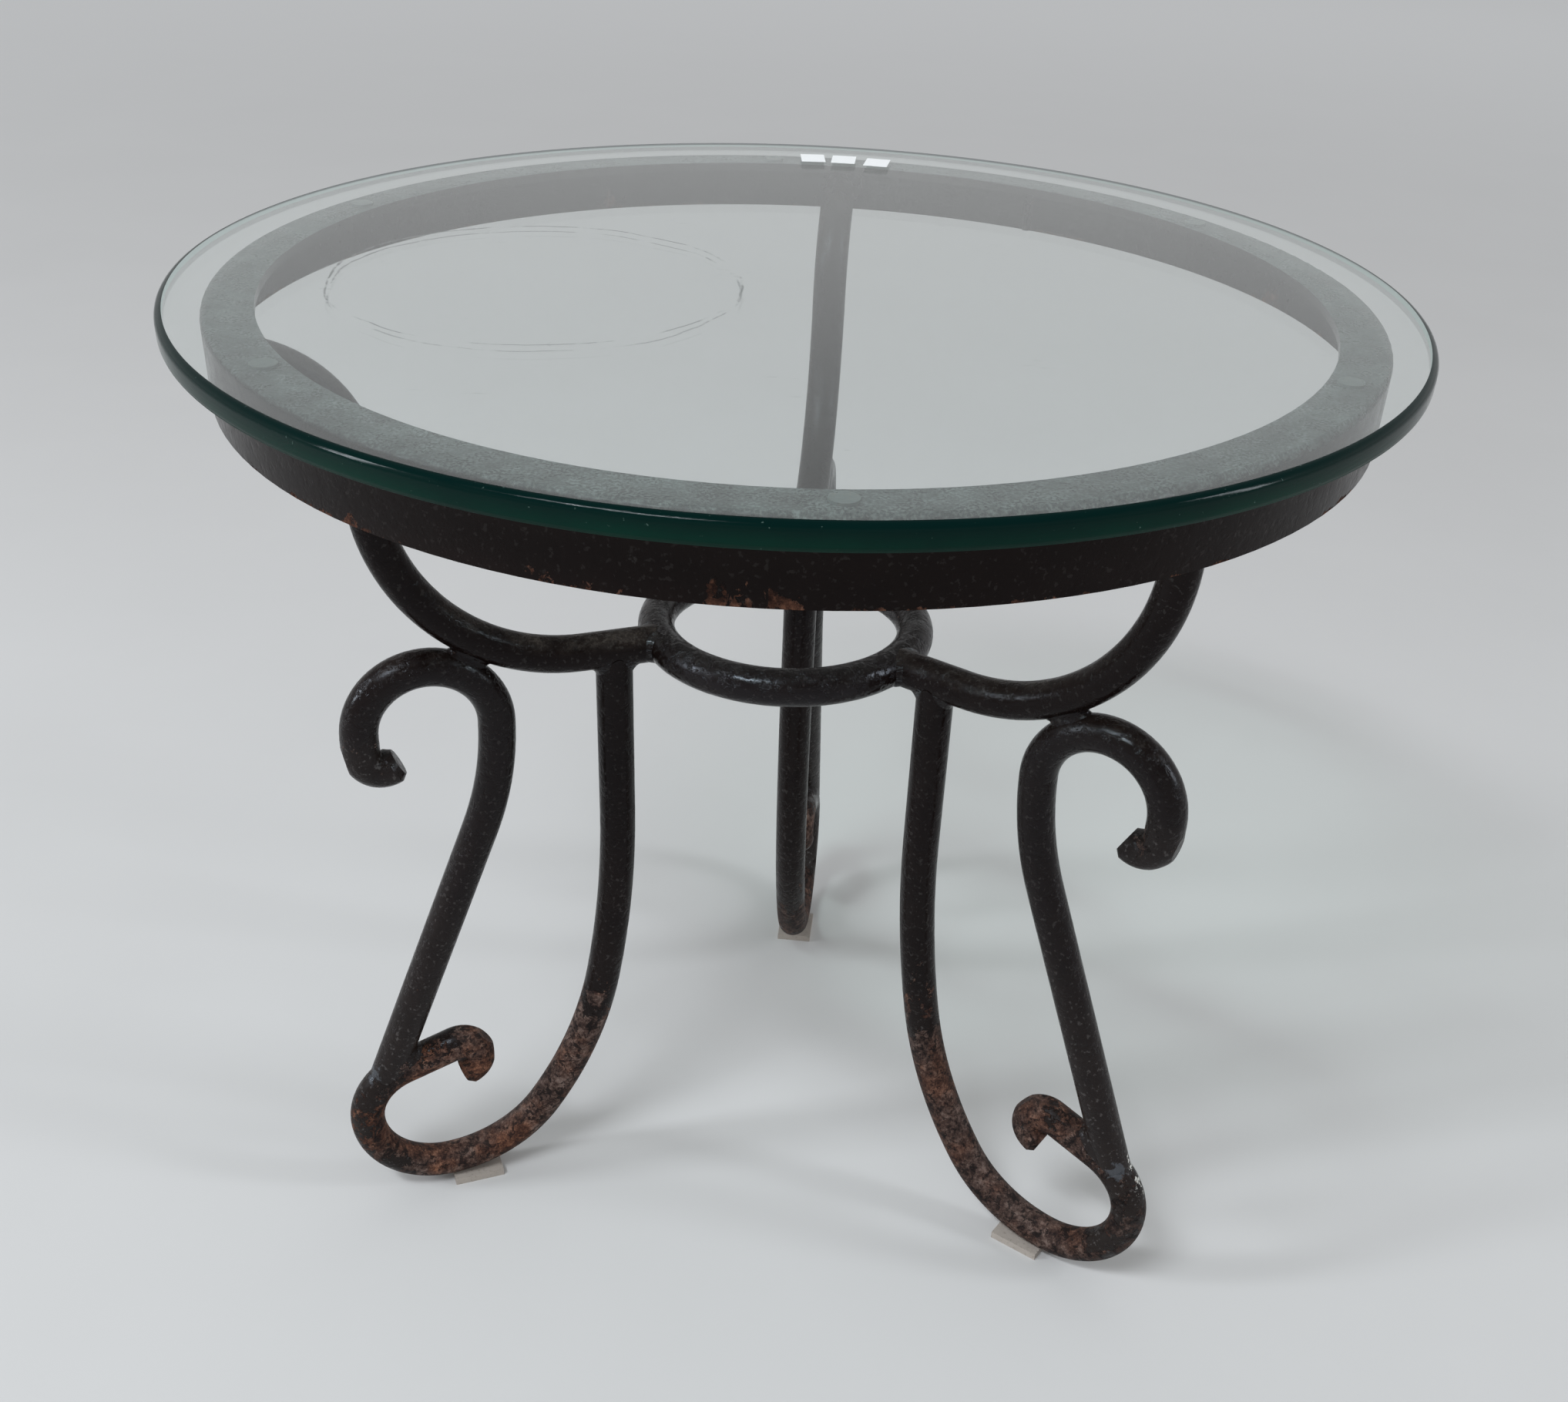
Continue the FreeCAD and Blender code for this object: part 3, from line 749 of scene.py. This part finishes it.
def makePlastic(piece):
    look, own = plasticLook, plasticLook[piece]
    material, tree, shader, where = startMaterial(piece + "Plastic")
    cloud = noiseAt(tree, where, *look["cloud"])
    pale = [min(1.0, v * look["paler"]) for v in own["tint"]]
    colour = blend(tree, cloud, (*own["tint"], 1), (*pale, 1))
    dirt = patchy(tree, where, look["dirt"], look["dirtSteps"])
    rough = ramp(tree, cloud, *look["cloudSteps"], own["rough"], own["rough"] + look["rougher"])
    wire(tree, shader, {"Base Color": blend(tree, dirt, colour, look["dirtColour"]), "Roughness": rough,
                        "Normal": bumped(tree, cloud, look["relief"]),
                        "Transmission Weight": own["clearness"], "IOR": look["ior"]})
    return material


dress(makePlastic("dot"), "glass_bumpers")
dress(makePlastic("pad"), "foot_pad_left", "foot_pad_right", "foot_pad_back")
print("glass and pads done")

# three small blank paper stickers near the back rim of the glass, each with x, y and turn in degrees
stickerLook = {"wide": 0.0145, "deep": 0.0200, "thick": 0.0001, "base": 0.54180, "grid": 5,
               "places": [(0.0057, 0.2598, 3.0), (0.0246, 0.2590, -4.0), (0.0449, 0.2543, -9.0)],
               "fibre": (1600.0, 4.0, 0.7), "shades": [(0.76, 0.76, 0.75, 1), (0.90, 0.90, 0.89, 1)],
               "gloss": (0.3, 0.7, 0.55, 0.75), "relief": (0.0002, 0.4)}


def makeStickerPlan():
    tree, given, out = startTree("stickers", "GeometryNodeTree", {
        "Geometry": "Geometry", "Width": "Float", "Depth": "Float", "Thickness": "Float",
        "Material": "Material"}, {"Geometry": "Geometry"})
    paper = put(tree, "GeometryNodeMeshCube", {
        "Size": joined(tree, given["Width"], given["Depth"], given["Thickness"]),
        "Vertices X": stickerLook["grid"], "Vertices Y": stickerLook["grid"]}).outputs[0]
    turn = put(tree, "GeometryNodeInputNamedAttribute", {"Name": "turn"}, data_type="FLOAT").outputs[0]
    placed = put(tree, "GeometryNodeInstanceOnPoints", {"Points": given["Geometry"], "Instance": paper,
                                                        "Rotation": joined(tree, 0.0, 0.0, turn)}).outputs[0]
    real = put(tree, "GeometryNodeRealizeInstances", {0: placed}).outputs[0]
    dressed = {"Geometry": real, "Material": given["Material"]}
    wire(tree, out, {"Geometry": put(tree, "GeometryNodeSetMaterial", dressed).outputs[0]})
    return tree


def makePaper():
    look = stickerLook
    material, tree, shader, where = startMaterial("stickerPaper")
    fibre = noiseAt(tree, where, *look["fibre"])
    wire(tree, shader, {"Base Color": blend(tree, fibre, *look["shades"]),
                        "Roughness": ramp(tree, fibre, *look["gloss"]),
                        "Normal": bumped(tree, fibre, look["relief"])})
    return material


stickerSpots = bpy.data.meshes.new("sticker_spots")
middle = stickerLook["base"] + stickerLook["thick"] / 2
stickerSpots.from_pydata([(x, y, middle) for x, y, turn in stickerLook["places"]], [], [])
turns = stickerSpots.attributes.new("turn", "FLOAT", "POINT")
turns.data.foreach_set("value", [math.radians(turn) for x, y, turn in stickerLook["places"]])
paper = grow("paper_stickers", makeStickerPlan(), {
    "Width": stickerLook["wide"], "Depth": stickerLook["deep"], "Thickness": stickerLook["thick"],
    "Material": makePaper()}, stickerSpots)
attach(paper, "glass")
print("stickers placed")

# pale floor, painted lighter far from the table as painted light standing in for the lamp light that falls
# off there, reaching half out on each side
floorLook = {"half": 60.0, "cloud": (3.0, 6.0, 0.6), "dark": (0.545, 0.535, 0.525, 1),
             "light": (0.585, 0.575, 0.565, 1), "far": (0.84, 0.84, 0.84, 1), "paintedLightFade": (1.2, 6.0),
             "rough": 0.9, "shine": 0.1}


def makeFloor():
    look = floorLook
    mesh = bpy.data.meshes.new("floor")
    h = look["half"]
    mesh.from_pydata([(-h, -h, 0), (h, -h, 0), (h, h, 0), (-h, h, 0)], [], [(0, 1, 2, 3)])
    floor = bpy.data.objects.new("floor", mesh)
    material, tree, shader, where = startMaterial("floorPale")
    colour = blend(tree, noiseAt(tree, where, *look["cloud"]), look["dark"], look["light"])
    away = put(tree, "ShaderNodeVectorMath", {0: where}, operation="LENGTH").outputs["Value"]
    # painted light: the floor grows lighter with distance, where the lamps' light falls off
    colour = blend(tree, ramp(tree, away, *look["paintedLightFade"]), colour, look["far"])
    wire(tree, shader, {"Base Color": colour, "Roughness": look["rough"],
                        "Specular IOR Level": look["shine"]})
    mesh.materials.append(material)
    scene.collection.objects.link(floor)
    return floor


makeFloor()

# world and lamps: "seen" is what the camera, gloss and glass meet, "lit" is what lights the object
sky = {"horizon": (0.44, 0.442, 0.446, 1), "horizonRise": (0.0, 0.16),
       "seenLow": (0.60, 0.605, 0.61, 1), "seenHigh": (0.215, 0.228, 0.236, 1), "seenRise": (0.08, 0.7),
       "lit": (0.97, 0.985, 1.0, 1), "litStrength": 0.55}
lampColour = (0.88, 0.94, 1.0)
lampAim = (0, 0, 0.3)
lamps = {"frontSoftbox": {"place": (-1.3, -1.7, 3.2), "size": (1.6, 0.55), "power": 46.0},
         "frontTube": {"place": (-1.25, -1.65, 3.1), "size": (0.9, 0.15), "power": 22.0},
         "leftStrip": {"place": (-3.5, -0.8, 1.9), "size": (0.45, 1.4), "power": 56.0},
         "rightStrip": {"place": (3.2, -0.6, 1.9), "size": (0.45, 1.4), "power": 32.0}}


def makeSky():
    world = bpy.data.worlds.new("studio")
    scene.world = world
    world.use_nodes = True
    tree = world.node_tree
    tree.nodes.clear()
    path = tree.nodes.new("ShaderNodeLightPath").outputs
    plain = most(tree, path["Is Camera Ray"], path["Is Glossy Ray"], path["Is Transmission Ray"])
    rise = axesOf(tree, tree.nodes.new("ShaderNodeTexCoord").outputs["Generated"])[2]
    shade = blend(tree, ramp(tree, rise, *sky["seenRise"]), sky["seenLow"], sky["seenHigh"])
    shade = blend(tree, ramp(tree, rise, *sky["horizonRise"]), sky["horizon"], shade)
    lit = put(tree, "ShaderNodeBackground", {"Color": sky["lit"], "Strength": sky["litStrength"]}).outputs[0]
    seen = put(tree, "ShaderNodeBackground", {"Color": shade, "Strength": 1.0}).outputs[0]
    both = put(tree, "ShaderNodeMixShader", {0: plain, 1: lit, 2: seen}).outputs[0]
    put(tree, "ShaderNodeOutputWorld", {"Surface": both})


def makeLamps():
    for name, values in lamps.items():
        lamp = bpy.data.lights.new(name, "AREA")
        lamp.shape = "RECTANGLE"
        lamp.size, lamp.size_y = values["size"]
        lamp.energy = values["power"]
        lamp.color = lampColour
        holder = bpy.data.objects.new(name, lamp)
        holder.location = values["place"]
        aim = Vector(lampAim) - Vector(values["place"])
        holder.rotation_euler = aim.to_track_quat("-Z", "Y").to_euler()
        scene.collection.objects.link(holder)


makeSky()
makeLamps()

# camera: where the picture was taken from, in metres and radians, with its lens and middle row in pixels
shot = {"place": (-0.0015, -0.8391, 0.7737), "pitch": 0.58742, "yaw": 0.00644, "roll": 0.04256,
        "focal": 2200.0, "axisRow": 1081.76, "pictureWide": 2035, "pictureHigh": 1820,
        "sensor": 36.0, "nearest": 0.05}


def makeCamera():
    camera = bpy.data.cameras.new("shot")
    camera.sensor_fit = "HORIZONTAL"
    camera.sensor_width = shot["sensor"]
    camera.lens = shot["sensor"] * shot["focal"] / shot["pictureWide"]
    camera.shift_y = (shot["axisRow"] - shot["pictureHigh"] / 2) / shot["pictureWide"]
    camera.clip_start = shot["nearest"]
    pitch, yaw, roll = shot["pitch"], shot["yaw"], shot["roll"]
    ahead = Vector((math.sin(yaw) * math.cos(pitch), math.cos(yaw) * math.cos(pitch), -math.sin(pitch)))
    level = Vector((math.cos(yaw), -math.sin(yaw), 0))
    upright = level.cross(ahead)
    right = level * math.cos(roll) + upright * math.sin(roll)
    up = upright * math.cos(roll) - level * math.sin(roll)
    turned = Matrix((right, up, -ahead)).transposed().to_4x4()
    turned.translation = Vector(shot["place"])
    holder = bpy.data.objects.new("shot", camera)
    scene.collection.objects.link(holder)
    holder.matrix_world = turned
    scene.camera = holder


makeCamera()
print("stage, light and camera set")
